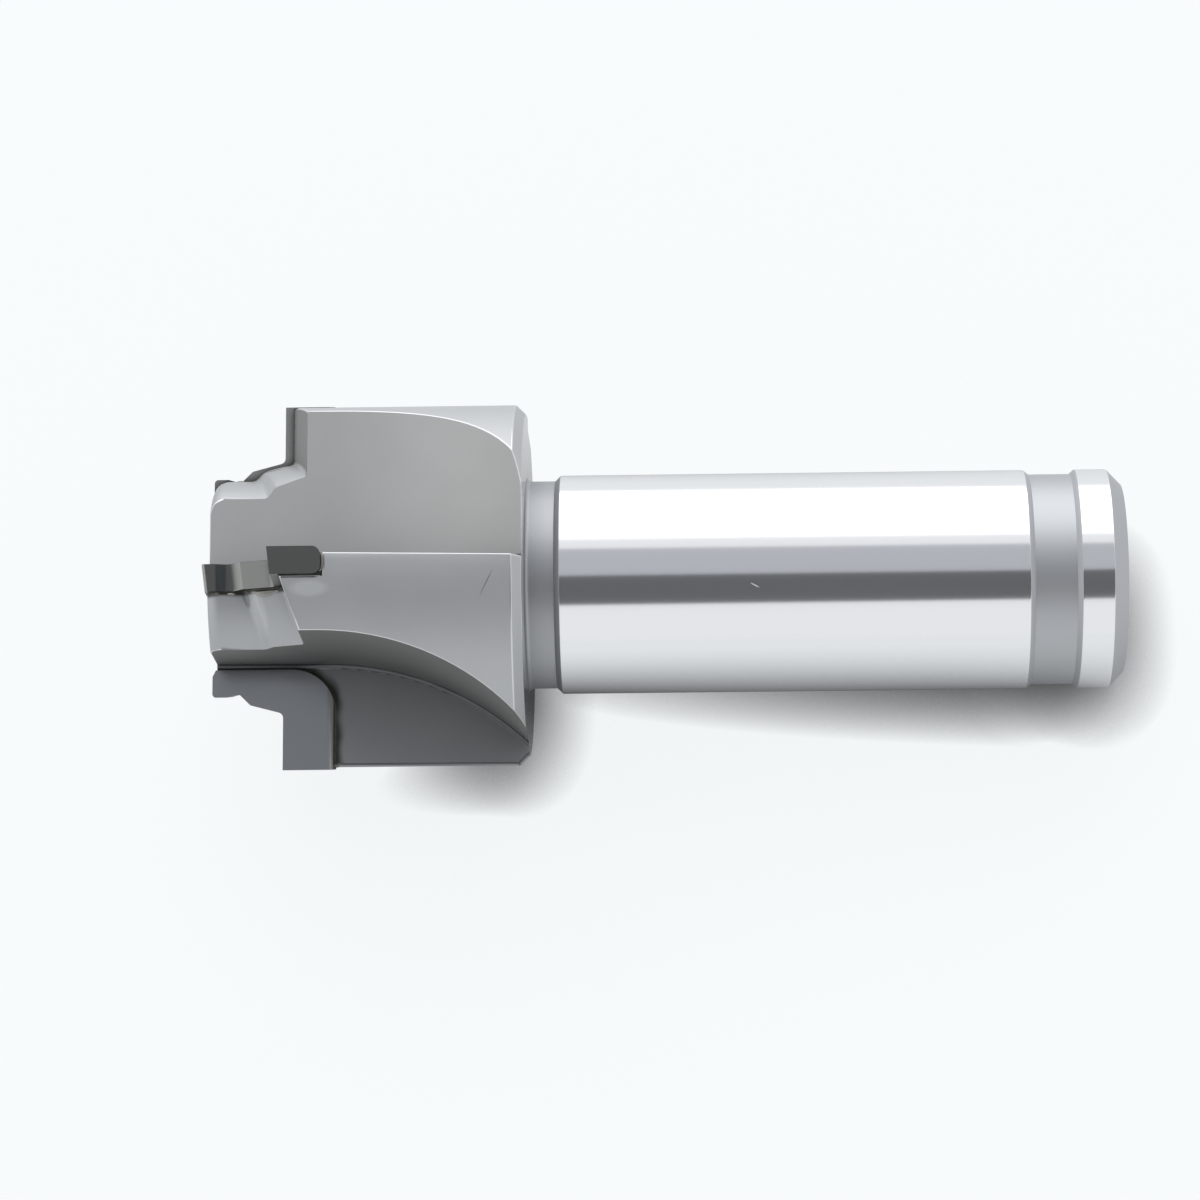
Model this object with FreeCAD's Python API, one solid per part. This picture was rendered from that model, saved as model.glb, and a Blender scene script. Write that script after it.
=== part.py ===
# Port contour cutter: a four-flute head with brazed carbide tips on a plain ground shank.
# The tips cut a stepped, tapered port seat in one pass: pilot bore, seal cone and spotface.
#
# The tool is modelled along its own axis, +X from the nose to the shank end, with the first
# rake face in the plane that holds the axis and +Z. It turns clockwise seen from the shank
# end. At the end it is laid down as it comes to rest, on the gap between two teeth at the
# back of the head and on the end of the shank. All sizes are in millimetres and degrees.

import FreeCAD, Part
import math
import os
from FreeCAD import Matrix, Placement, Rotation, Vector

os.makedirs("parts", exist_ok=True)

# Port form that the tips cut, from the nose back
pilot_r = 10.2             # tap drill bore
pilot_land = 1.3           # length of the full pilot diameter
nose_round = 0.35
nose_width = 1.95          # from the pilot in to the inner corner of the nose
nose_fall = 0.5            # from there in, the front edge falls back this much for each mm
pilot_dip = 0.25           # relief behind the pilot land
pilot_dip_x = 2.15         # deepest point of that relief
chamfer_x = 2.55           # start of the 45 degree thread chamfer
chamfer_r = 10.0
cone_start_r = 10.95
cone_angle = 15.0
spotface_r = 17.0
spotface_x = 6.5           # depth from the nose to the spotface edge
dip_round = 0.3
chamfer_round = 0.25
spotface_fillet = 0.55

# Carbide tips
tooth_count = 4
tip_thickness = 2.4
tip_back_x = 11.25         # back end of the tip
tip_inner_r = 7.65         # inner edge of the tip
tip_corner_r = 4.0         # inner back corner, in the rake face
tip_end_round = 0.75       # back end, across the thickness
face_relief = 6.0          # on the edges that cut along the axis
side_relief = 12.0         # on the edges that cut outwards, square to the rake face
braze_gap = 0.12

# Head of the body
head_length = 28.95
head_drop = 0.5            # body outside below the tips
pilot_drop = 0.4           # body pilot below the tips
front_setback = 0.4        # body front behind the nose
front_round = 0.9          # the front corner of the body's pilot is rounded
front_cut = 0.27           # its bend lies this far inside the sharp corner
front_run = 1.25           # and the rounding runs this far along the pilot
back_chamfer = 0.9
step_setback = 0.75        # body step behind the heel of the tip
step_relief = 19.5         # the body form falls back behind the tips by this angle
body_chamfer = 0.75        # 45 degree chamfer at the foot of the body cone
body_cone_length = 2.85
body_round = 0.8           # where the ground faces of the body form run into each other
step_round = 0.4           # at the foot of the body step
form_ahead = 8.0           # the form is ground from this angle ahead of the rake face
form_behind = 56.0         # to this angle behind it

# Chip flutes
wall_drop = 0.2            # flute wall behind the rake faces, at the nose
axial_rake = 1.1           # the wall falls back from there towards the shank
tooth_depth = 7.15         # from the rake plane to the back of the tooth
flute_runout = 18.5        # the floor starts to rise this far from the back of the head
flute_runout_r = 26.8      # radius of the milling cutter that made the run-out
runout_sweep = 60.0        # angle of that cutter's arc
flute_root_r = 0.4

# Neck, shank and its end
neck_d = 19.0
neck_length = 2.6
neck_fillet = 0.4
shank_d = 20.0
shank_length = 51.55       # from the end of the neck to the end face
groove_width = 4.65
groove_depth = 0.4
groove_slope = 0.45        # length of each sloped side
groove_to_end = 4.2        # from the groove to the end face
end_chamfer_length = 1.35
end_chamfer_depth = 1.4

# Centre holes between which the tool was ground
centre_hole_d = 2.0
centre_hole_depth = 4.5
centre_cone_d = 4.25

# Sizes that follow from those above
head_r = spotface_r - head_drop
body_pilot_r = pilot_r - pilot_drop
neck_r = neck_d / 2
shank_r = shank_d / 2
neck_end_x = head_length + neck_length
flute_straight = head_length - flute_runout
shank_end_x = neck_end_x + shank_length
tooth_pitch = 360.0 / tooth_count
relief_slope = math.tan(math.radians(step_relief))
cone_slope = math.tan(math.radians(cone_angle))
clear = 2.0                # cutting shapes start this far outside what they cut
outside = head_r + 2 * clear
ORIGIN = Vector(0, 0, 0)
X_AXIS = Vector(1, 0, 0)
Y_AXIS = Vector(0, 1, 0)
Z_AXIS = Vector(0, 0, 1)


def outline(corners, plane="xz", level=0.0):
    """A flat face. Each corner is two coordinates and, where it is rounded, a radius."""
    def point(a, b):
        return Vector(a, level, b) if plane == "xz" else Vector(a, b, level)

    points = [point(*corner[:2]) for corner in corners]
    radii = [corner[2] if len(corner) == 3 else 0.0 for corner in corners]
    arrive, leave, arcs = [], [], []
    for i, here in enumerate(points):
        to_last = (points[i - 1] - here).normalize()
        to_next = (points[(i + 1) % len(points)] - here).normalize()
        half = to_last.getAngle(to_next) / 2
        reach = radii[i] / math.tan(half)
        arrive.append(here + to_last * reach)
        leave.append(here + to_next * reach)
        if radii[i]:
            inward = (to_last + to_next).normalize()
            middle = here + inward * (radii[i] / math.sin(half) - radii[i])
            arcs.append(Part.Arc(arrive[i], middle, leave[i]).toShape())
        else:
            arcs.append(None)
    edges = []
    for i in range(len(points)):
        if arcs[i]:
            edges.append(arcs[i])
        following = (i + 1) % len(points)
        edges.append(Part.makeLine(leave[i], arrive[following]))
    return Part.Face(Part.Wire(edges))


def around(shape, tooth):
    """A copy of a shape of the first tooth, turned to another tooth."""
    copy = shape.copy()
    copy.rotate(ORIGIN, X_AXIS, -tooth * tooth_pitch)
    return copy


def turned_blank():
    """The body as it leaves the lathe: head, neck, shank, groove and centre holes."""
    hole_r = centre_hole_d / 2
    cone_depth = (centre_cone_d - centre_hole_d) / 2 * math.sqrt(3)
    front = front_setback
    end = shank_end_x
    groove_end = end - groove_to_end
    groove_start = groove_end - groove_width
    groove_r = shank_r - groove_depth
    profile = [
        (front + centre_hole_depth, 0),
        (front + centre_hole_depth, hole_r),
        (front + cone_depth, hole_r),
        (front, centre_cone_d / 2),
        (front, head_r),
        (head_length - back_chamfer, head_r),
        (head_length, head_r - back_chamfer),
        (head_length, neck_r, neck_fillet),
        (neck_end_x, neck_r),
        (neck_end_x + shank_r - neck_r, shank_r),
        (groove_start, shank_r),
        (groove_start + groove_slope, groove_r),
        (groove_end - groove_slope, groove_r),
        (groove_end, shank_r),
        (end - end_chamfer_length, shank_r),
        (end, shank_r - end_chamfer_depth),
        (end, centre_cone_d / 2),
        (end - cone_depth, hole_r),
        (end - centre_hole_depth, hole_r),
        (end - centre_hole_depth, 0),
    ]
    blank = outline(profile).revolve(ORIGIN, X_AXIS, 360)
    return blank.cut(front_corner_ring())


def front_corner_ring():
    """What rounding the front corner of the body's pilot takes away."""
    overlap = 0.05
    foot = front_setback
    top = body_pilot_r + overlap
    ring = outline([
        (foot - clear, body_pilot_r - front_round),
        (foot, body_pilot_r - front_round),
        (foot + front_cut, body_pilot_r - front_cut, front_round),
        (foot + front_run, top),
        (foot + front_run, outside),
        (foot - clear, outside),
    ])
    return ring.revolve(ORIGIN, X_AXIS, 360)


def flute():
    """One chip flute: a radial wall, a floor square to it and the cutter's run-out arc."""
    sweep = math.radians(runout_sweep)
    bend = Vector(flute_straight, -wall_drop, tooth_depth + flute_runout_r)

    def on_cutter(turn):
        return bend + Vector(math.sin(turn), 0, -math.cos(turn)) * flute_runout_r

    floor_start = Vector(-clear, -wall_drop, tooth_depth)
    floor_end, halfway, top = on_cutter(0), on_cutter(sweep / 2), on_cutter(sweep)
    above = Vector(top.x, -wall_drop, top.z + outside)
    ahead = Vector(-clear, -wall_drop, above.z)
    section = Part.Face(Part.Wire([
        Part.makeLine(floor_start, floor_end),
        Part.Arc(floor_end, halfway, top).toShape(),
        Part.makeLine(top, above),
        Part.makeLine(above, ahead),
        Part.makeLine(ahead, floor_start),
    ]))
    space = section.extrude(Y_AXIS * outside)
    tiny = 1e-6
    roots = [edge for edge in space.Edges
             if edge.BoundBox.YMax < tiny - wall_drop
             and edge.BoundBox.ZMin < tooth_depth + tiny
             and edge.BoundBox.XLength > flute_root_r]
    space = space.makeFillet(flute_root_r, roots)
    space.rotate(ORIGIN, Z_AXIS, -axial_rake)
    return space


def body_form_space():
    """What grinding the body's own form behind one tip takes away."""
    heel_x = spotface_x + tip_thickness * math.tan(math.radians(face_relief))
    step_x = heel_x + step_setback - tip_thickness * relief_slope
    cone_x = step_x - body_cone_length
    cone_r = body_pilot_r + body_chamfer
    section = outline([
        (-outside, body_pilot_r),
        (cone_x - body_chamfer, body_pilot_r, body_round),
        (cone_x, cone_r, body_round),
        (step_x, cone_r + body_cone_length * cone_slope, step_round),
        (step_x, outside),
        (-outside, outside),
    ])
    section.rotate(ORIGIN, X_AXIS, -form_ahead)
    space = section.revolve(ORIGIN, X_AXIS, form_ahead + form_behind)
    shear = Matrix()
    shear.A12 = -relief_slope
    return space.transformGeometry(shear)


def tip_blank(grow=0.0):
    """The carbide blank before its form is ground, or with grow the seat that takes it."""
    back = tip_back_x + grow
    inner = tip_inner_r - grow
    section = outline([
        (-clear, inner),
        (back, inner, tip_corner_r + grow),
        (back, outside),
        (-clear, outside),
    ], level=-tip_thickness - grow)
    return section.extrude(Y_AXIS * (tip_thickness + grow))


def rounded_blank():
    """The blank with its back end rounded across the thickness."""
    plan = outline([
        (-2 * clear, -tip_thickness),
        (tip_back_x, -tip_thickness, tip_end_round),
        (tip_back_x, 0, tip_end_round),
        (-2 * clear, 0),
    ], plane="xy")
    return tip_blank().common(plan.extrude(Z_AXIS * 2 * outside))


def port_form():
    """The ground form of a tip, swept back from the rake face at the relief angles."""
    nose_in = pilot_r - nose_width
    cone_x = chamfer_x + cone_start_r - chamfer_r
    behind = tip_back_x + 2 * clear
    inside = tip_inner_r - clear
    form = outline([
        ((nose_in - inside) * nose_fall, inside),
        (0, nose_in),
        (0, pilot_r, nose_round),
        (pilot_land, pilot_r, dip_round),
        (pilot_dip_x, pilot_r - pilot_dip, dip_round),
        (chamfer_x, chamfer_r),
        (cone_x, cone_start_r, chamfer_round),
        (spotface_x, cone_start_r + (spotface_x - cone_x) * cone_slope, spotface_fillet),
        (spotface_x, spotface_r),
        (behind, spotface_r),
        (behind, inside),
    ])
    sweep = Vector(math.tan(math.radians(face_relief)), -1,
                   -math.tan(math.radians(side_relief)))
    form.translate(-sweep)
    return form.extrude(sweep * (tip_thickness + clear))


def resting_place(shape):
    """Lays the tool down on the gap between two teeth and on the end of the shank."""
    back = head_length - back_chamfer
    rake = math.radians(axial_rake)
    lead = math.acos(-(wall_drop + back * math.tan(rake)) / head_r)
    floor_r = tooth_depth
    for _ in range(4):
        across = math.sqrt(head_r ** 2 - floor_r ** 2)
        along = back * math.cos(rake) - across * math.sin(rake) - flute_straight
        floor_r = tooth_depth + flute_runout_r - math.sqrt(flute_runout_r ** 2 - along ** 2)
    trail = math.asin(floor_r / head_r) + math.pi / 2 - math.radians(tooth_pitch)
    rest_r = head_r * math.cos((lead - trail) / 2)
    dip = math.atan2(rest_r - shank_r, shank_end_x - end_chamfer_length - back)
    roll = Rotation(X_AXIS, -90 - math.degrees((lead + trail) / 2))
    laid = Rotation(Y_AXIS, math.degrees(dip)).multiply(roll)
    turned = shape.copy()
    turned.Placement = Placement(ORIGIN, laid)
    box = turned.optimalBoundingBox(False, False)
    shift = Vector(-box.Center.x, -box.Center.y, -box.ZMin)
    print("axis dips", round(math.degrees(dip), 3), "degrees")
    return Placement(shift, laid)


blank = turned_blank()
flutes = [around(flute(), tooth) for tooth in range(tooth_count)]
forms = [around(body_form_space(), tooth) for tooth in range(tooth_count)]
toothed = blank.cut(flutes).cut(forms)

seats = [around(tip_blank(braze_gap), tooth) for tooth in range(tooth_count)]
pieces = {"cutter_body": toothed.cut(seats)}

raw_blank = rounded_blank()
ground_tip = raw_blank.common(port_form())
for tooth in range(tooth_count):
    pieces["tip_%d" % (tooth + 1)] = around(ground_tip, tooth)
    filler = toothed.common(seats[tooth]).cut(around(raw_blank, tooth))
    pieces["braze_seam_%d" % (tooth + 1)] = filler

place = resting_place(Part.makeCompound(list(pieces.values())))
for name, piece in pieces.items():
    solid = piece.Solids[0]
    laid = solid.copy()
    laid.Placement = place.multiply(solid.Placement)
    laid.exportStep("parts/%s.step" % name)
    print(name, "solids", len(piece.Solids), "valid", solid.isValid(),
          "volume", round(solid.Volume, 3))
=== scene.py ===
import bmesh
import bpy
import math
from mathutils import Euler, Matrix, Quaternion, Vector
from mathutils.bvhtree import BVHTree


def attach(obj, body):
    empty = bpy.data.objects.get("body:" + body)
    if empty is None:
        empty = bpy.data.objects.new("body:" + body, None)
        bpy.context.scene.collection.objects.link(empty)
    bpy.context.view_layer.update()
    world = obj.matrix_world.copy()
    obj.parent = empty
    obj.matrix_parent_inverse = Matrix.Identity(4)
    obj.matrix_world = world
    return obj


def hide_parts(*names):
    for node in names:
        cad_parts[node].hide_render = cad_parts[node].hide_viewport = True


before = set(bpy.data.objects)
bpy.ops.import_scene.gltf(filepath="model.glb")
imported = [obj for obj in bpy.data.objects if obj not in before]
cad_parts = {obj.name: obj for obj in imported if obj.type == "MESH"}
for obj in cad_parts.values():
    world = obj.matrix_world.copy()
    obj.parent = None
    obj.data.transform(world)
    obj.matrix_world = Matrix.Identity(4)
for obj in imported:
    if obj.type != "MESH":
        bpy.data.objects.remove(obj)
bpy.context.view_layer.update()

scene = bpy.context.scene


# Camera. A short telephoto looks down on the tool from the front, a little from its right,
# and is rolled until the shank lies level across the picture.
MM = 0.001
camera_at = Vector((42.05, -197.87, 374.05)) * MM
looks_at = Vector((-6.04, -1.33, 14.26)) * MM
camera_roll = math.radians(-15.57)
camera = bpy.data.objects.new("camera", bpy.data.cameras.new("camera"))
camera.data.sensor_width = 36.0
camera.data.lens = 135.15
camera.data.clip_start, camera.data.clip_end = 0.01, 20.0
level = (looks_at - camera_at).to_track_quat("-Z", "Y")
camera.location = camera_at
camera.rotation_euler = (level @ Quaternion((0, 0, 1), camera_roll)).to_euler()
scene.collection.objects.link(camera)
scene.camera = camera
scene.view_settings.view_transform = "Standard"


# Table and light. The tool lies on a white table under a large soft window behind and above
# it, in a white room. A grey ceiling panel and the dark side of the studio, behind the
# camera, give the bright steel its grey and dark bands.
def linear(code):
    """The linear colour of an sRGB hex value."""
    def channel(start):
        value = int(code[start:start + 2], 16) / 255
        return value / 12.92 if value <= 0.04045 else ((value + 0.055) / 1.055) ** 2.4
    return (channel(1), channel(3), channel(5), 1.0)


def add(tree, kind, sockets=(), **settings):
    """Adds a node. Sockets are {input: value or output}, each input by its name, or by its
    number where names repeat. The other words are its settings and plain inputs."""
    node = tree.nodes.new(kind)
    for name, value in settings.items():
        if hasattr(node, name):
            setattr(node, name, value)
        else:
            node.inputs[name.replace("_", " ")].default_value = value
    for name, value in dict(sockets).items():
        if isinstance(value, bpy.types.NodeSocket):
            tree.links.new(value, node.inputs[name])
        else:
            node.inputs[name].default_value = value
    return node


def new_material(name):
    """An empty material with its output, ready for nodes."""
    material = bpy.data.materials.new(name)
    material.use_nodes = True
    material.node_tree.nodes.clear()
    return material, material.node_tree, add(material.node_tree, "ShaderNodeOutputMaterial")


room_level = 0.75
world = bpy.data.worlds.new("white_room")
world.use_nodes = True
tree = world.node_tree
tree.nodes.clear()
room_light = add(tree, "ShaderNodeBackground", Color=linear("#FBFCFD"), Strength=room_level)
backdrop = add(tree, "ShaderNodeBackground", Color=linear("#FCFDFF"), Strength=1.0)
ray = add(tree, "ShaderNodeLightPath")
shiny = add(tree, "ShaderNodeMath", {0: ray.outputs["Is Glossy Ray"],
                                     1: ray.outputs["Is Transmission Ray"]}, operation="ADD")
sees_backdrop = add(tree, "ShaderNodeMath", {0: ray.outputs["Is Camera Ray"],
                                             1: shiny.outputs[0]}, operation="ADD",
                    use_clamp=True)
shown = add(tree, "ShaderNodeMixShader", {0: sees_backdrop.outputs[0], 1: room_light.outputs[0],
                                          2: backdrop.outputs[0]})
add(tree, "ShaderNodeOutputWorld", {0: shown.outputs[0]})
scene.world = world

table_size = 6.0
bm = bmesh.new()
bmesh.ops.create_grid(bm, x_segments=1, y_segments=1, size=table_size / 2)
mesh = bpy.data.meshes.new("table")
bm.to_mesh(mesh)
bm.free()
table = bpy.data.objects.new("table", mesh)
scene.collection.objects.link(table)

# White laminate: the backdrop's own white, darker round the tool, where little of the room
# reaches it, and with the lamp's soft shadow in it. Bright steel shows it dark further out.
contact_reach = 6 * MM
reach_for_steel = 80 * MM
shade_power = 2.0           # how fast the shade gathers towards the contact
shade_samples = 8           # rays that look for what is near, for every material that asks
white_for_camera = 0.88
white_for_steel = 0.90
laminate, tree, output = new_material("white_laminate_table")
lit = add(tree, "ShaderNodeBsdfDiffuse", Color=linear("#FCFDFD"))
ray = add(tree, "ShaderNodeLightPath")
reach = add(tree, "ShaderNodeMapRange", {"Value": ray.outputs["Is Glossy Ray"]},
            To_Min=contact_reach, To_Max=reach_for_steel)
open_sky = add(tree, "ShaderNodeAmbientOcclusion", {"Distance": reach.outputs[0]},
               samples=shade_samples)
openness = add(tree, "ShaderNodeMath", {0: open_sky.outputs["AO"], 1: shade_power},
               operation="POWER")
white = add(tree, "ShaderNodeEmission", {"Strength": openness.outputs[0]},
            Color=linear("#FBFEFF"))
for_steel = add(tree, "ShaderNodeMath", {0: ray.outputs["Is Glossy Ray"], 1: white_for_steel},
                operation="MULTIPLY")
share = add(tree, "ShaderNodeMath", {0: ray.outputs["Is Camera Ray"], 1: white_for_camera,
                                     2: for_steel.outputs[0]}, operation="MULTIPLY_ADD")
both = add(tree, "ShaderNodeMixShader", {0: share.outputs[0], 1: lit.outputs[0],
                                         2: white.outputs[0]})
tree.links.new(both.outputs[0], output.inputs[0])
table.data.materials.append(laminate)


def panel(name, angle, spread, reach, left, right, colour):
    """A glowing flat panel, reach metres from the tool and facing it. It stands angle degrees
    up from the front horizon, spans spread degrees and goes from left to right in metres."""
    half = reach * math.tan(math.radians(spread / 2))
    turn = math.radians(angle)
    bm = bmesh.new()
    bmesh.ops.create_grid(bm, x_segments=1, y_segments=1, size=0.5)
    bmesh.ops.scale(bm, vec=(right - left, 2 * half, 1), verts=bm.verts)
    bmesh.ops.rotate(bm, cent=(0, 0, 0), matrix=Matrix.Rotation(math.pi / 2 - turn, 3, "X"),
                     verts=bm.verts)
    bmesh.ops.translate(bm, vec=((left + right) / 2, -reach * math.cos(turn),
                                 reach * math.sin(turn)), verts=bm.verts)
    mesh = bpy.data.meshes.new(name)
    bm.to_mesh(mesh)
    bm.free()
    card = bpy.data.objects.new(name, mesh)
    scene.collection.objects.link(card)
    material, tree, output = new_material(name)
    glow = add(tree, "ShaderNodeEmission", Color=linear(colour), Strength=1.0)
    tree.links.new(glow.outputs[0], output.inputs[0])
    mesh.materials.append(material)
    card.visible_camera = False


panel("dark_studio_side", 56.0, 30.0, 0.80, -0.45, 0.9, "#6A6C6E")
panel("grey_ceiling_panel", 85.0, 28.0, 0.86, -0.5, 0.9, "#C2C5CA")

window_width, window_height = 4.8, 5.0
window_watts = 84.0
window_at = Vector((0.0, 3.15, 2.30))
window = bpy.data.objects.new("soft_window", bpy.data.lights.new("soft_window", "AREA"))
window.data.shape = "RECTANGLE"
window.data.size, window.data.size_y = window_width, window_height
window.data.energy = window_watts
window.data.color = linear("#FDFEFF")[:3]
window.location = window_at
window.rotation_euler = (-window_at).to_track_quat("-Z", "Y").to_euler()
window.visible_camera = False
scene.collection.objects.link(window)


# Cutter body: one bar of tool steel, turned, its four flutes milled, the head bead blasted
# to a satin grey and the shank ground bright between centres. Every edge is broken a little.
nose_at = Vector((-41.2766, 0.0, 18.5133)) * MM     # where the tool's axis starts
lay = Euler((math.radians(-163.9756), math.radians(5.9947), 0.0))
to_tool = lay.to_matrix().transposed()
edge_break = 0.08 * MM
lip_break = 0.17 * MM       # the corner between each flute wall and its land is broken wider
sharp_angle = math.radians(38)
merge_within = 0.001 * MM
flat_within = math.radians(0.3)


def copy_of(name):
    """A merged copy of a CAD node's mesh, with its flat faces whole again."""
    bm = bmesh.new()
    bm.from_mesh(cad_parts[name].data)
    bmesh.ops.remove_doubles(bm, verts=bm.verts, dist=merge_within)
    bmesh.ops.dissolve_limit(bm, angle_limit=flat_within, verts=bm.verts, edges=bm.edges,
                             use_dissolve_boundaries=False, delimit={"NORMAL"})
    return bm


def finished(bm, name, materials, stands_for=(), soft=()):
    """Makes the object of a finished mesh, smooth but for its sharp edges. Edges stay smooth
    too between two faces that both have one of the soft materials."""
    mesh = bpy.data.meshes.new(name)
    bm.to_mesh(mesh)
    bm.free()
    if "custom_normal" in mesh.attributes:
        mesh.attributes.remove(mesh.attributes["custom_normal"])
    for material in materials:
        mesh.materials.append(material)
    mesh.shade_smooth()
    mesh.set_sharp_from_angle(angle=sharp_angle)
    bounded = {edge for face in mesh.polygons if face.material_index not in soft
               for edge in face.edge_keys}
    for edge in mesh.edges:
        edge.use_edge_sharp = edge.use_edge_sharp and edge.key in bounded
    piece = bpy.data.objects.new(name, mesh)
    scene.collection.objects.link(piece)
    weighted = piece.modifiers.new("flat_faces_stay_flat", "WEIGHTED_NORMAL")
    weighted.keep_sharp = True
    weighted.weight = 100
    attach(piece, "root")
    if stands_for:
        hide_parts(*stands_for)
    return piece


def tool_coordinates(tree):
    """Object coordinates turned to the tool's own: X runs along the axis from the nose."""
    place = add(tree, "ShaderNodeTexCoord")
    laid = add(tree, "ShaderNodeMapping", {"Vector": place.outputs["Object"],
                                           "Location": nose_at, "Rotation": lay},
               vector_type="TEXTURE")
    return laid.outputs[0]


def beside_tip(tree, here, on_wall, start, stop):
    """0 up to start from a tip's outline, and 1 from stop on, ragged by a soft noise."""
    rag_size = 2.2 * MM
    # The tip's outline ends in a rounded corner, given by its centre and radius.
    axes = add(tree, "ShaderNodeSeparateXYZ", {0: here})
    if on_wall:                                     # seen square to the rake face
        corner_x, corner_across, corner_r = 7.25 * MM, -11.65 * MM, 4.0 * MM
        square = add(tree, "ShaderNodeVectorMath", {0: here, 1: (0, 1, 1)}, operation="MULTIPLY")
        radius = add(tree, "ShaderNodeVectorMath", {0: square.outputs[0]}, operation="LENGTH")
        across = add(tree, "ShaderNodeMath", {0: radius.outputs["Value"], 1: -1.0},
                     operation="MULTIPLY")
    else:                                           # seen from outside the head
        corner_x, corner_across, corner_r = 10.5 * MM, 1.65 * MM, 0.75 * MM
        one = add(tree, "ShaderNodeMath", {0: axes.outputs["Y"]}, operation="ABSOLUTE")
        other = add(tree, "ShaderNodeMath", {0: axes.outputs["Z"]}, operation="ABSOLUTE")
        across = add(tree, "ShaderNodeMath", {0: one.outputs[0], 1: other.outputs[0]},
                     operation="MINIMUM")
    past = []
    for value, corner in ((axes.outputs["X"], corner_x), (across.outputs[0], corner_across)):
        gap = add(tree, "ShaderNodeMath", {0: value, 1: corner}, operation="SUBTRACT")
        past.append(add(tree, "ShaderNodeMath", {0: gap.outputs[0], 1: 0.0},
                        operation="MAXIMUM").outputs[0])
    step = add(tree, "ShaderNodeCombineXYZ", {0: past[0], 1: past[1]})
    away = add(tree, "ShaderNodeVectorMath", {0: step.outputs[0]}, operation="LENGTH")
    rag = add(tree, "ShaderNodeTexNoise", {"Vector": here}, Scale=1 / rag_size, Detail=1.0)
    ragged = add(tree, "ShaderNodeMath", {0: rag.outputs["Fac"], 1: stop - start,
                                          2: away.outputs["Value"]}, operation="MULTIPLY_ADD")
    clean = add(tree, "ShaderNodeMapRange", {"Value": ragged.outputs[0]},
                interpolation_type="SMOOTHSTEP", From_Min=corner_r + start + (stop - start) / 2,
                From_Max=corner_r + stop + (stop - start) / 2)
    return clean.outputs[0]


def outside_mark(tree, here, centre, turned, size, strength):
    """1 but for a small mark: an ellipse with its centre and half sizes in mm, turned that
    many degrees about the tool's Z axis and soft in the outer part of its radius."""
    soft_from = 0.6
    own = add(tree, "ShaderNodeMapping", {"Vector": here, "Location": Vector(centre) * MM,
                                          "Rotation": (0, 0, math.radians(turned)),
                                          "Scale": Vector(size) * MM}, vector_type="TEXTURE")
    away = add(tree, "ShaderNodeVectorMath", {0: own.outputs[0]}, operation="LENGTH")
    return add(tree, "ShaderNodeMapRange", {"Value": away.outputs["Value"]}, From_Min=soft_from,
               From_Max=1.0, To_Min=1 - strength).outputs[0]


grain_size = 0.22 * MM      # real dimples are about 0.03 mm, too fine to show
cloud_size = 6.0 * MM       # how wide the faint clouds of the blast are
painted_shade_reach = 9.0 * MM       # how far the painted shade reaches out of a corner


def blasted_steel(name, dark, pale, roughness, root_from, root_to, flux_stain_and_seam_shadow=None, marks=(),
                  grazing="#FFFFFF"):
    """Blasted steel: an even, fine, dull grain with faint clouds, with painted shade in its
    roots and corners, and a dark halo round the brazed tips that is partly flux stain and
    partly painted shadow of the seam. The halo is what beside_tip takes after the place,
    and a mark is its tone and then what outside_mark takes after the place."""
    material, tree, output = new_material(name)
    here = tool_coordinates(tree)
    clouds = add(tree, "ShaderNodeTexNoise", {"Vector": here}, Scale=1 / cloud_size, Detail=3.0)
    base = add(tree, "ShaderNodeMix", {0: clouds.outputs["Fac"], 6: linear(dark),
                                       7: linear(pale)}, data_type="RGBA")
    # Painted shade: the colour darkens where other metal is close round, in roots and corners.
    near = add(tree, "ShaderNodeAmbientOcclusion", samples=shade_samples, Distance=painted_shade_reach)
    clear = add(tree, "ShaderNodeMapRange", {"Value": near.outputs["AO"]}, From_Min=root_from,
                From_Max=root_to)
    colour = add(tree, "ShaderNodeMix", {0: clear.outputs[0], 6: linear("#2E2F30"),
                                         7: base.outputs[2]}, data_type="RGBA")
    # A dark halo round each tip: partly flux stain, partly painted shadow along the seam's gap.
    if flux_stain_and_seam_shadow:
        clean = beside_tip(tree, here, *flux_stain_and_seam_shadow)
        colour = add(tree, "ShaderNodeMix", {0: clean, 6: linear("#3B3B36"),
                                             7: colour.outputs[2]}, data_type="RGBA")
    for tone, *mark in marks:
        unmarked = outside_mark(tree, here, *mark)
        colour = add(tree, "ShaderNodeMix", {0: unmarked, 6: linear(tone),
                                             7: colour.outputs[2]}, data_type="RGBA")
    grain = add(tree, "ShaderNodeTexNoise", {"Vector": here}, Scale=1 / grain_size, Detail=2.0)
    dimples = add(tree, "ShaderNodeBump", {"Height": grain.outputs["Fac"]}, Strength=0.15,
                  Distance=0.02 * MM)
    steel = add(tree, "ShaderNodeBsdfPrincipled", {"Base Color": colour.outputs[2],
                                                   "Normal": dimples.outputs[0]},
                Metallic=1.0, Roughness=roughness, Specular_Tint=linear(grazing))
    tree.links.new(steel.outputs[0], output.inputs[0])
    return material


# Bead blasted steel, on the flute floors and the nose: an even satin grey, duller where the
# eye grazes it, with painted shade in its corners.
blasted = blasted_steel("bead_blasted_tool_steel", "#B0B1B0", "#B8B9B8", 0.50, -1.0, 0.85,
                        grazing="#707070")

# Ground and then blasted steel, on the form behind each tip: a little smoother and paler, with
# a streak of painted shade and a pale streak below the seam, and a dark halo by the tip that
# is partly flux stain and partly painted shadow.
painted_shade_streak = ("#3E3E3A", (3.95, 2.9, -9.4), -20, (0.36, 1.2, 3), 0.45)
pale_streak = ("#D6D6D2", (5.25, 4.3, -9.5), -12, (0.7, 2.7, 3), 0.25)
form_steel = blasted_steel("blasted_ground_form", "#ABADAF", "#B6B8B9", 0.50, 0.0, 0.8,
                           (False, 0.15 * MM, 0.55 * MM), (pale_streak, painted_shade_streak))
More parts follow.
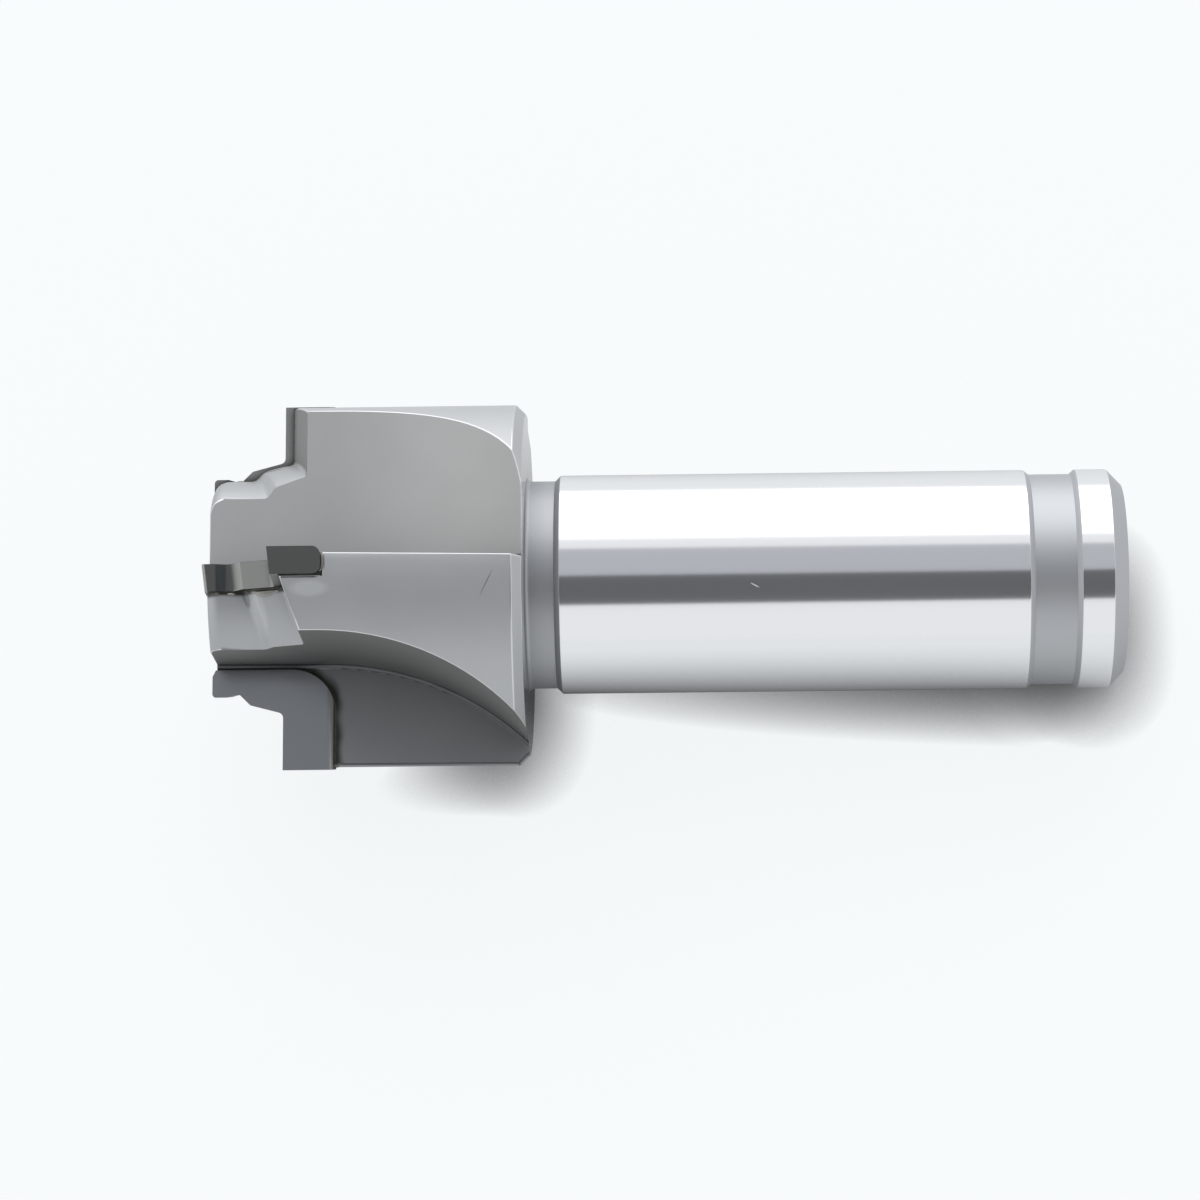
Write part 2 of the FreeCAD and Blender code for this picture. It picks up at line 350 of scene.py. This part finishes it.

# Ground and lightly blasted steel, on the lands: the palest, with one rubbed patch beside a
# tip, a fine scratch, a painted highlight where a corner's chamfer widens at the back, and a
# dark line by each tip's end that is partly flux stain and partly painted shadow of the gap.
ground_patch = ("#E2E4E6", (10.25, 3.62, -16.1), 0, (1.95, 0.85, 3), 0.40)
scratch = ("#66686A", (25.87, 3.3, -16.15), 117, (1.5, 0.05, 3), 0.75)
painted_chamfer_highlight = ("#E6E7E8", (27.75, 0.4, -16.4), 12, (1.0, 0.36, 3), 0.6)
land_steel = blasted_steel("blasted_ground_land", "#B8BABC", "#C1C2C3", 0.56, 0.0, 0.8,
                           (False, 0.2 * MM, 0.4 * MM), (ground_patch, scratch, painted_chamfer_highlight))

# Milled and blasted steel, on the flute walls: a darker grey that is painted shade, and brown
# black round the tips, partly smoke from the brazing flame and partly painted shadow.
shaded_wall_steel = blasted_steel("milled_flute_wall_painted_shade", "#8B8C8D", "#919293", 0.50, -0.5, 0.3,
                           (True, 0.15 * MM, 1.1 * MM))

# Steel in the flute roots and on the broken edges near the table: a dull dark grey that is
# painted shade.
painted_shade_root_steel = blasted_steel("flute_root_painted_shade", "#626365", "#68696B", 0.50, -0.5, 0.3)

# Cylindrically ground steel, on the shank and the head's back face: nearly a mirror, with very
# fine lines round it and one small nick.
ground, tree, output = new_material("cylindrically_ground_tool_steel")
line_pitch = 0.12 * MM      # real wheel marks are ten times finer
here = tool_coordinates(tree)
across = add(tree, "ShaderNodeSeparateXYZ", {0: here})
lines = add(tree, "ShaderNodeTexNoise", noise_dimensions="1D", Scale=1 / line_pitch, Detail=1.0)
tree.links.new(across.outputs["X"], lines.inputs["W"])
marks = add(tree, "ShaderNodeBump", {"Height": lines.outputs["Fac"]}, Strength=0.05,
            Distance=0.01 * MM)
nick = outside_mark(tree, here, (49.6, 2.4, -9.7), 28, (0.5, 0.06, 2), 1.0)
rough = add(tree, "ShaderNodeMapRange", {"Value": nick}, To_Min=0.75, To_Max=0.13)
steel = add(tree, "ShaderNodeBsdfPrincipled", {"Normal": marks.outputs[0],
                                               "Roughness": rough.outputs[0]}, Metallic=1.0,
            Base_Color=linear("#E6E7E9"))
tree.links.new(steel.outputs[0], output.inputs[0])

# Turned steel: the neck, the groove and the end keep the lathe's fine rings, which make them a
# dull grey, with painted shade darkening them beside the head.
turned, tree, output = new_material("fine_turned_tool_steel")
feed = 0.1 * MM             # the feed of the finishing cut
here = tool_coordinates(tree)
across = add(tree, "ShaderNodeSeparateXYZ", {0: here})
rings = add(tree, "ShaderNodeTexNoise", noise_dimensions="1D", Scale=1 / feed, Detail=2.0)
tree.links.new(across.outputs["X"], rings.inputs["W"])
marks = add(tree, "ShaderNodeBump", {"Height": rings.outputs["Fac"]}, Strength=0.3,
            Distance=0.01 * MM)
# Painted shade: darker where the head's back face or other metal is close.
near = add(tree, "ShaderNodeAmbientOcclusion", samples=shade_samples, Distance=painted_shade_reach)
clear = add(tree, "ShaderNodeMapRange", {"Value": near.outputs["AO"]}, From_Min=-0.3,
            From_Max=0.8)
colour = add(tree, "ShaderNodeMix", {0: clear.outputs[0], 6: linear("#3A3B3C"),
                                     7: linear("#B5B7BA")}, data_type="RGBA")
steel = add(tree, "ShaderNodeBsdfPrincipled", {"Normal": marks.outputs[0],
                                               "Base Color": colour.outputs[2]},
            Metallic=1.0, Roughness=0.5)
tree.links.new(steel.outputs[0], output.inputs[0])

# Stoned steel: the broken edges of the head are rubbed bright after blasting, and catch the
# light as thin pale lines. Painted shade turns them nearly black where metal or the table
# is close round them.
stoned, tree, output = new_material("stoned_tool_steel_edges")
stroke_size = 0.3 * MM      # a fine stone's strokes, drawn coarser than they are
here = tool_coordinates(tree)
strokes = add(tree, "ShaderNodeTexNoise", {"Vector": here}, Scale=1 / stroke_size, Detail=2.0)
marks = add(tree, "ShaderNodeBump", {"Height": strokes.outputs["Fac"]}, Strength=0.2,
            Distance=0.01 * MM)
near = add(tree, "ShaderNodeAmbientOcclusion", samples=shade_samples, Distance=painted_shade_reach)
clear = add(tree, "ShaderNodeMapRange", {"Value": near.outputs["AO"]}, From_Min=0.55,
            From_Max=0.85)
colour = add(tree, "ShaderNodeMix", {0: clear.outputs[0], 6: linear("#1D1E1E"),
                                     7: linear("#D0D1D2")}, data_type="RGBA")
steel = add(tree, "ShaderNodeBsdfPrincipled", {"Normal": marks.outputs[0],
                                               "Base Color": colour.outputs[2]},
            Metallic=1.0, Roughness=0.28)
tree.links.new(steel.outputs[0], output.inputs[0])

head_back_x = 28.94 * MM    # just short of the head's back face
shank_start_x, shank_stop_x = 32.0 * MM, 81.8 * MM
groove_start_x, groove_stop_x = 74.3 * MM, 79.0 * MM
ground_r = 9.97 * MM
land_r = 15.5 * MM
form_back_x = 9.0 * MM
flute_band = 0.8 * MM       # flute walls and roots lie this near a plane through the axis
root_start_x, root_stop_x = 10.0 * MM, 28.0 * MM
painted_shadow_below = 12.5 * MM  # edges this near the table take the roots' dark grey, as painted shadow
HEAD, SHANK, TURNED, EDGE, LAND, WALL, FORM, ROOT = range(8)


def in_tool(point):
    """A point of the frame in the tool's own coordinates."""
    return to_tool @ (point - nose_at)


bm = copy_of("cutter_body")
for face in bm.faces:
    x, y, z = in_tool(face.calc_center_median())
    normal = to_tool @ face.normal
    turning = (y * normal.z - z * normal.y) / math.hypot(y, z)  # -1 where it faces the cut
    radii = [in_tool(v.co).yz.length for v in face.verts]
    on_shank = shank_start_x < x < shank_stop_x and not groove_start_x < x < groove_stop_x
    if x < head_back_x:
        if min(radii) > land_r and x > form_back_x:
            face.material_index = LAND
        elif turning < -0.99 and min(abs(y), abs(z)) < flute_band:
            face.material_index = WALL
        elif min(abs(y), abs(z)) < flute_band and abs(normal.x) < 0.9:
            face.material_index = ROOT
        elif abs(turning) < 0.25 and normal.x > -0.95 and x < form_back_x:
            face.material_index = FORM
        else:
            face.material_index = HEAD
    elif on_shank and max(radii) > ground_r or normal.x > 0.99 and x < shank_start_x:
        face.material_index = SHANK
    else:
        face.material_index = TURNED


def stands_out(edge):
    """Whether an edge is a corner that sticks out of the metal, away from the flute roots."""
    one, other = edge.link_faces
    across = other.calc_center_median() - one.calc_center_median()
    middle = in_tool((edge.verts[0].co + edge.verts[1].co) / 2)
    in_root = root_start_x < middle.x < root_stop_x and middle.yz.length < land_r
    return (edge.calc_face_angle() > sharp_angle and edge.is_convex and not in_root
            and across.dot(one.normal) < 0 and across.dot(other.normal) > 0)


def break_edges(bm, edges, width):
    """Bevels edges and gives those of the head the finish of stoned ones, or, near the table, the
    roots' dark grey as painted shadow. Returns the new faces."""
    made = bmesh.ops.bevel(bm, geom=edges, offset=width, offset_type="OFFSET", affect="EDGES",
                           segments=2, profile=0.5, material=-1, clamp_overlap=False)
    for face in made["faces"]:
        if face.material_index in (HEAD, LAND, WALL, FORM):
            # Broken edges near the table take the dark root steel: painted shadow from the table.
            underneath = max(v.co.z for v in face.verts) < painted_shadow_below
            face.material_index = ROOT if underneath else EDGE
    return set(made["faces"])


def is_lip(edge):
    """Whether an edge is the land's corner with a flute wall or with the step of the form."""
    finishes = {face.material_index for face in edge.link_faces}
    ahead = min((to_tool @ face.normal).x for face in edge.link_faces)
    return LAND in finishes and (WALL in finishes or ahead < -0.8)


lips = [e for e in bm.edges if stands_out(e) and is_lip(e)]
lip_faces = break_edges(bm, lips, lip_break)
corners = [e for e in bm.edges if stands_out(e)
           and not any(f.material_index == EDGE for f in e.link_faces)
           and not any(f in lip_faces for f in e.link_faces)]
break_edges(bm, corners, edge_break)
steel_surface = BVHTree.FromBMesh(bm)
finished(bm, "ground_body", [blasted, ground, turned, stoned, land_steel, shaded_wall_steel,
                             form_steel, painted_shade_root_steel],
         ["cutter_body"], (WALL, ROOT))


# Carbide tips: sintered tungsten carbide, ground all round to the port's form. They are brazed
# into seats milled in the teeth.

# Ground carbide: a smooth dark grey with a soft shine, a little warmer on the form than on the
# rake faces, with painted shade in its corners and in the form's small groove.
carbide, tree, output = new_material("ground_tungsten_carbide")
here = tool_coordinates(tree)
wheel_mark = 0.15 * MM      # drawn as coarse as it needs to show
small_groove_x = 1.72 * MM  # the form's small groove, painted darker as shade
groove_half, groove_fade = 0.38 * MM, 0.52 * MM
corner_shade = 0.9 * MM     # how far into a corner the painted shade reaches
rake_skin = 0.03 * MM       # faces this near a plane through the axis are rake faces
texture = add(tree, "ShaderNodeTexNoise", {"Vector": here}, Scale=1 / wheel_mark, Detail=2.0)
marks = add(tree, "ShaderNodeBump", {"Height": texture.outputs["Fac"]}, Strength=0.1,
            Distance=0.01 * MM)
near = add(tree, "ShaderNodeAmbientOcclusion", samples=shade_samples,
           Distance=corner_shade)
clear = add(tree, "ShaderNodeMapRange", {"Value": near.outputs["AO"]}, From_Min=0.55,
            From_Max=0.98)
axes = add(tree, "ShaderNodeSeparateXYZ", {0: here})
one = add(tree, "ShaderNodeMath", {0: axes.outputs["Y"]}, operation="ABSOLUTE")
other = add(tree, "ShaderNodeMath", {0: axes.outputs["Z"]}, operation="ABSOLUTE")
depth = add(tree, "ShaderNodeMath", {0: one.outputs[0], 1: other.outputs[0]}, operation="MINIMUM")
on_form = add(tree, "ShaderNodeMath", {0: depth.outputs[0], 1: rake_skin},
              operation="GREATER_THAN")
past = add(tree, "ShaderNodeMath", {0: axes.outputs["X"], 1: small_groove_x},
           operation="SUBTRACT")
beside = add(tree, "ShaderNodeMath", {0: past.outputs[0]}, operation="ABSOLUTE")
outside_groove_shade = add(tree, "ShaderNodeMapRange", {"Value": beside.outputs[0]}, From_Min=groove_half,
               From_Max=groove_fade)
form_colour = add(tree, "ShaderNodeMix", {0: outside_groove_shade.outputs[0], 6: linear("#707474"),
                                          7: linear("#9B9C99")}, data_type="RGBA")
faces = add(tree, "ShaderNodeMix", {0: on_form.outputs[0], 6: linear("#909295"),
                                    7: form_colour.outputs[2]}, data_type="RGBA")
colour = add(tree, "ShaderNodeMix", {0: clear.outputs[0], 6: linear("#3A3C3C"),
                                     7: faces.outputs[2]}, data_type="RGBA")
metal = add(tree, "ShaderNodeBsdfPrincipled", {"Normal": marks.outputs[0],
                                               "Base Color": colour.outputs[2]},
            Metallic=1.0, Roughness=0.26)
tree.links.new(metal.outputs[0], output.inputs[0])
for tooth in range(1, 5):
    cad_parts["tip_%d" % tooth].material_slots[0].material = carbide


# Braze: silver solder, flowed between each tip and its seat. It stands in small beads along
# the seam, pale where it is clean and dark where flux and scale stayed on it.
patch_size = 1.1 * MM
ripple_size = 0.7 * MM
bead_sides = 10
outside_head = 30.0         # mm from the axis, where a ray towards the body starts


def solder(name, stained, bare):
    """Silver solder: softly rippled, with stained and bare patches about a millimetre wide."""
    material, tree, output = new_material(name)
    here = tool_coordinates(tree)
    patches = add(tree, "ShaderNodeTexNoise", {"Vector": here}, Scale=1 / patch_size, Detail=1.0)
    colour = add(tree, "ShaderNodeMix", {0: patches.outputs["Fac"], 6: linear(stained),
                                         7: linear(bare)}, data_type="RGBA")
    ripple = add(tree, "ShaderNodeTexNoise", {"Vector": here}, Scale=1 / ripple_size, Detail=1.0)
    waves = add(tree, "ShaderNodeBump", {"Height": ripple.outputs["Fac"]}, Strength=0.4,
                Distance=0.04 * MM)
    metal = add(tree, "ShaderNodeBsdfPrincipled", {"Base Color": colour.outputs[2],
                                                   "Normal": waves.outputs[0]},
                Metallic=1.0, Roughness=0.35)
    tree.links.new(metal.outputs[0], output.inputs[0])
    return material


bright_solder = solder("flowed_silver_solder", "#74746F", "#A6A6A1")
stained_solder = solder("flux_stained_solder", "#35352F", "#5E5E55")
for tooth in range(1, 5):
    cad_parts["braze_seam_%d" % tooth].material_slots[0].material = stained_solder


def bead(bm, tooth, stations):
    """A bead of solder on the body. Each station is x, the distance behind the rake face,
    half the width, the height and, on the outside of the head, the radius it lies at."""
    turn = Matrix.Rotation(math.radians(90 * tooth), 3, "X")
    centres = []
    for x, behind, half, high, *radius in stations:
        outward = lay.to_matrix() @ turn @ Vector((0, 0, 1))
        if radius:
            centre = Vector((x, -behind, math.sqrt(radius[0] ** 2 - behind ** 2)))
            centre = lay.to_matrix() @ turn @ centre * MM + nose_at
            normal = outward
        else:
            start = lay.to_matrix() @ turn @ Vector((x, -behind, outside_head)) * MM + nose_at
            centre, normal = steel_surface.ray_cast(start, -outward)[:2]
        centres.append((centre, normal, half * MM, high * MM))
    rings = []
    for place, (centre, normal, half, high) in enumerate(centres):
        before, after = centres[max(place - 1, 0)][0], centres[min(place + 1, len(centres) - 1)][0]
        along = (after - before).normalized()
        side = normal.cross(along).normalized()
        up = along.cross(side)
        frame_of_ring = Matrix((side * half, up * high, along)).transposed().to_4x4()
        frame_of_ring.translation = centre
        ring = bmesh.ops.create_circle(bm, segments=bead_sides, radius=1.0,
                                        matrix=frame_of_ring)["verts"]
        rings.append({e for v in ring for e in v.link_edges})
    for one, other in zip(rings, rings[1:]):
        bmesh.ops.bridge_loops(bm, edges=list(one | other))
    bmesh.ops.holes_fill(bm, edges=list(rings[0] | rings[-1]), sides=bead_sides)


small_lump = [(2.3, 2.60, 0.05, 0.03), (2.55, 2.64, 0.13, 0.10), (2.8, 2.66, 0.15, 0.11),
              (3.05, 2.62, 0.05, 0.03)]
long_lump = [(4.5, 2.66, 0.06, 0.03), (5.0, 2.74, 0.18, 0.09), (5.5, 2.84, 0.30, 0.13),
             (6.0, 2.84, 0.32, 0.12), (6.6, 2.72, 0.16, 0.08), (7.1, 2.62, 0.06, 0.03)]
at_end = [(11.18, 0.30, 0.10, 0.05, 16.48), (11.36, 0.75, 0.17, 0.12, 16.48),
          (11.40, 1.25, 0.18, 0.14, 16.48), (11.36, 1.75, 0.17, 0.12, 16.48),
          (11.16, 2.20, 0.10, 0.05, 16.48)]
for tooth in range(4):
    bm = bmesh.new()
    bead(bm, tooth, small_lump)
    bead(bm, tooth, long_lump)
    bead(bm, tooth, at_end)
    bmesh.ops.recalc_face_normals(bm, faces=bm.faces)
    piece = finished(bm, "solder_beads_%d" % (tooth + 1), [bright_solder])
    flow = piece.modifiers.new("flowed", "SUBSURF")
    flow.levels = flow.render_levels = 2
